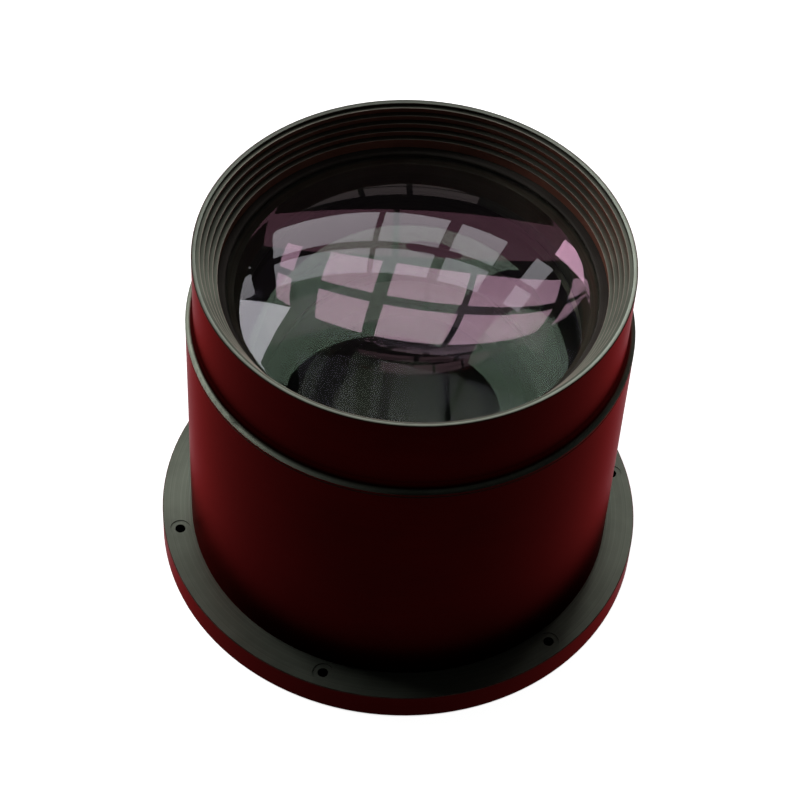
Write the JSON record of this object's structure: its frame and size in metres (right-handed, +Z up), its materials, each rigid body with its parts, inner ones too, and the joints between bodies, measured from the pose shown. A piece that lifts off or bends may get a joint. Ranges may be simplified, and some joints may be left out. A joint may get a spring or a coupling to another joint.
{
  "type": "projection lens",
  "caption": "Large projection lens with a stepped hood, a coated convex front glass and a round base flange with screw holes.",
  "frame": {"origin": "centre of the flange's mounting face, on the optical axis", "axes": "+Z up the optical axis to the rim; -Y towards the viewer of the picture"},
  "size_m": [0.15, 0.15, 0.1245],
  "materials": {
    "anodised_body": "satin dark anodised, wine red on turned walls",
    "black_inside": "matt black anodised",
    "coated_front_glass": "polished, multi-layer coating",
    "inner_glass": "polished, coated",
    "screw_steel": "blackened"
  },
  "bodies": {
    "root": {"barrel": "anodised_body", "front_cell": "anodised_body", "front_retaining_ring": "anodised_body", "front_spacer": "black_inside", "third_retaining_ring": "black_inside", "aperture_stop": "black_inside", "stop_retaining_ring": "black_inside", "rear_cell": "black_inside", "rear_spacer": "black_inside", "rear_retaining_ring": "black_inside", "front_element": "coated_front_glass", "second_element": "inner_glass", "third_element": "inner_glass", "rear_doublet_flint": "inner_glass", "rear_doublet_crown": "inner_glass", "rear_element": "inner_glass", "rear_cell_screw_1": "screw_steel", "rear_cell_screw_2": "screw_steel", "rear_cell_screw_3": "screw_steel", "rear_cell_screw_4": "screw_steel"}
  },
  "joints": []
}
